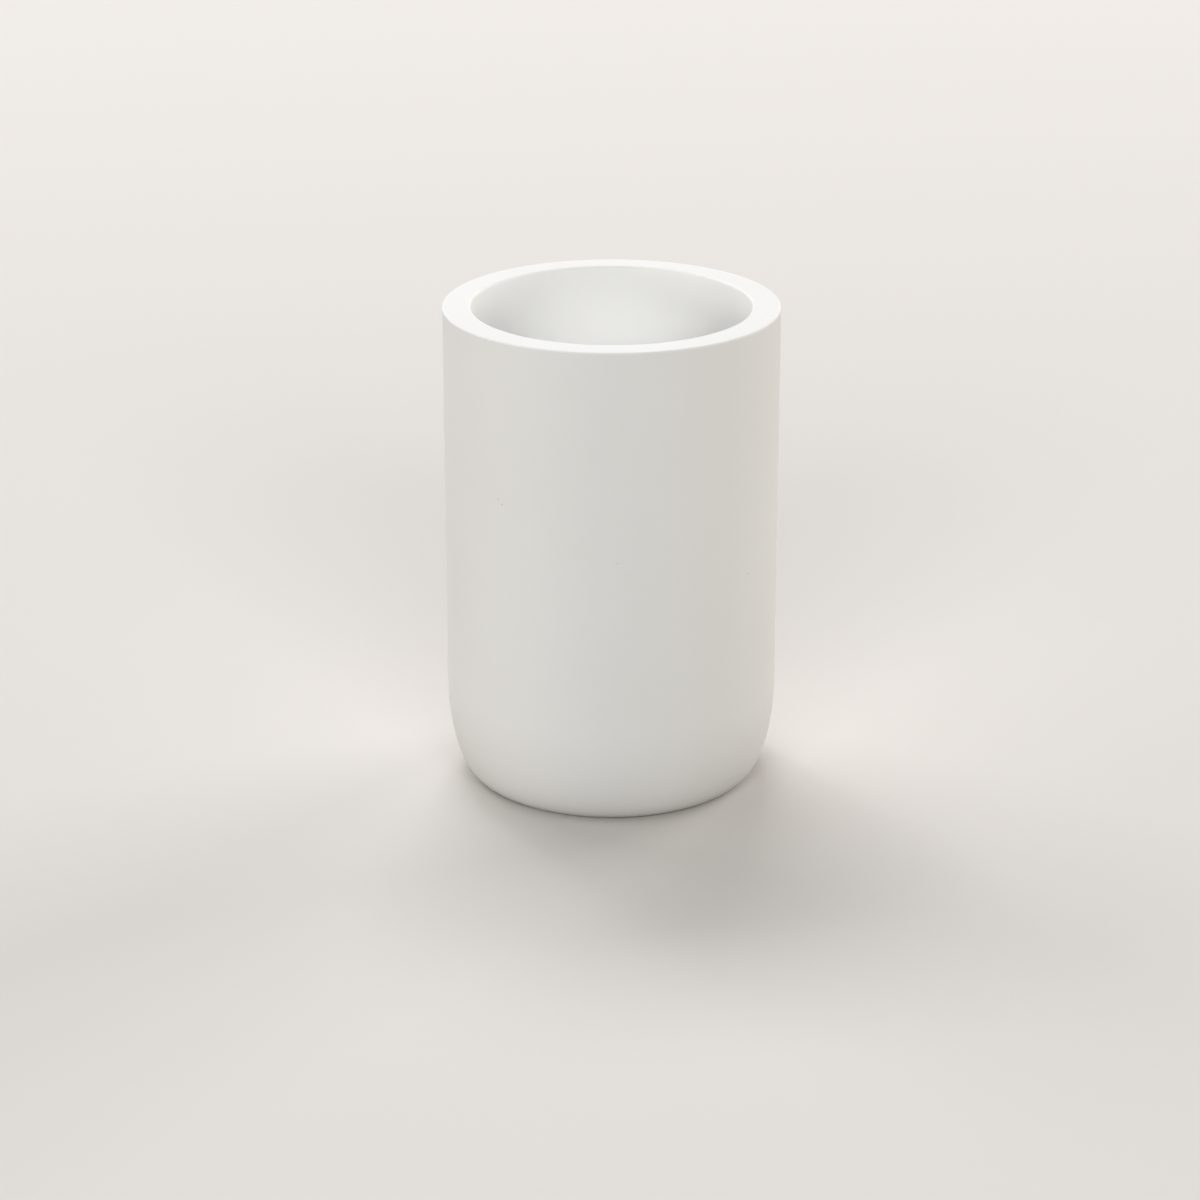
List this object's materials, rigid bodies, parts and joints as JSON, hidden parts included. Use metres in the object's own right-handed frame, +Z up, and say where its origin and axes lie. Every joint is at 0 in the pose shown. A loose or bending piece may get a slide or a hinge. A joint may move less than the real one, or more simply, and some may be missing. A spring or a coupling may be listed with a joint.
{
  "type": "bathroom tumbler",
  "caption": "Thick-walled round tumbler with a flat rim, a straight wall and a softly rounded lower corner, standing on a foam pad set into its underside.",
  "frame": {"origin": "centre of the underside of the foam pad, which is the face that the tumbler stands on", "axes": "+Z up along the tumbler's axis, from the pad to the rim; +X and +Y are any two square directions, because the tumbler is round"},
  "size_m": [0.0746, 0.0746, 0.1105],
  "materials": {
    "resin": "matte spray lacquer over a stone-filled resin casting",
    "foam": "closed-cell foam",
    "film": "pressure-sensitive adhesive film"
  },
  "bodies": {
    "root": {"tumbler_body": "resin", "base_pad": "foam", "pad_adhesive": "film"}
  },
  "joints": []
}
